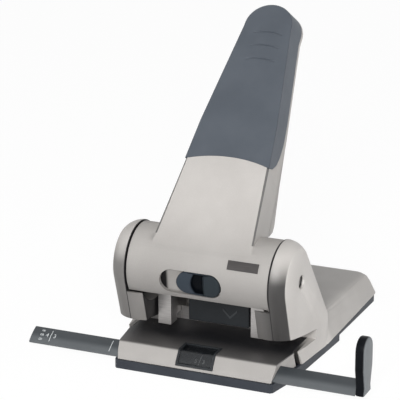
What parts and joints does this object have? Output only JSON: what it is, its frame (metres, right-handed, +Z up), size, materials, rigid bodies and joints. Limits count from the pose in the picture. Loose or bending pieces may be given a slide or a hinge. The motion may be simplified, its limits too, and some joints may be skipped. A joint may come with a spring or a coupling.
{
  "type": "two-hole paper punch",
  "caption": "Heavy-duty two-hole paper punch with a long lever between round cheeks, a lock slider, a sliding guide bar with end stop and a swing-down chip tray.",
  "frame": {"origin": "on the desk, midway between the axes of the two punches", "axes": "+X to the operator's right along the guide bar, +Y to the back, +Z up"},
  "size_m": [0.2301, 0.1825, 0.2122],
  "materials": {
    "silver_paint": "satin",
    "dark_plastic": "matte",
    "bright_steel": "brushed",
    "brass": "satin",
    "grip_soft": "matte",
    "badge_grey": "satin",
    "slider_plastic": "satin",
    "bar_plastic": "glossy",
    "window_clear": "clear"
  },
  "bodies": {
    "base": {"housing": "silver_paint", "deck": "silver_paint", "base_plate": "dark_plastic", "chassis_plate": "bright_steel", "punch_frame_left": "bright_steel", "punch_frame_right": "bright_steel", "die_bushes": "bright_steel", "paper_backstop": "bright_steel", "centre_cover": "dark_plastic", "pivot_shaft": "bright_steel", "pivot_screws": "bright_steel", "pivot_washers": "brass", "tray_hinge_pin": "bright_steel", "bar_clip": "bright_steel", "frame_screws": "bright_steel", "chassis_screws": "bright_steel", "base_screws": "bright_steel", "window_frame": "dark_plastic", "window_lens": "window_clear", "return_spring_left": "bright_steel", "return_spring_right": "bright_steel"},
    "lever": {"lever_shell": "silver_paint", "lever_grip": "grip_soft", "lever_back_plate": "dark_plastic", "pivot_sleeve": "bright_steel", "cam_left": "bright_steel", "cam_right": "bright_steel", "badge_plate": "badge_grey", "slider_recess": "silver_paint"},
    "lock": {"lock_slider": "slider_plastic", "lock_tongue": "bright_steel"},
    "punch_left": {"punch_pin_left": "bright_steel", "spring_collar_left": "brass"},
    "punch_right": {"punch_pin_right": "bright_steel", "spring_collar_right": "brass"},
    "guide": {"guide_bar": "bar_plastic", "end_stop": "bar_plastic"},
    "tray": {"chip_tray": "dark_plastic"}
  },
  "joints": [
    {"name": "lever_press", "type": "hinge", "parent": "base", "child": "lever", "pos_m": [0, -0.0146, 0.0648], "axis": [-1, 0, 0], "range_deg": [0, 45], "stiffness_Nm_per_rad": 0.9, "springref_deg": -42.97},
    {"name": "punch_slide_left", "type": "slide", "parent": "base", "child": "punch_left", "axis": [0, 0, -1], "range_m": [0, 0.0122], "deforming": ["return_spring_left"]},
    {"name": "punch_slide_right", "type": "slide", "parent": "base", "child": "punch_right", "axis": [0, 0, -1], "range_m": [0, 0.0122], "deforming": ["return_spring_right"]},
    {"name": "lock_slide", "type": "slide", "parent": "lever", "child": "lock", "axis": [-1, 0, 0], "range_m": [0, 0.01]},
    {"name": "guide_slide", "type": "slide", "parent": "base", "child": "guide", "axis": [1, 0, 0], "range_m": [-0.03, 0.1]},
    {"name": "tray_swing", "type": "hinge", "parent": "base", "child": "tray", "pos_m": [0, 0.0566, 0.00295], "axis": [1, 0, 0], "range_deg": [0, 70]}
  ],
  "couplings": [
    {"joint": "punch_slide_left", "follows": "lever_press", "m_per_rad": 0.0154},
    {"joint": "punch_slide_right", "follows": "lever_press", "m_per_rad": 0.0154}
  ]
}
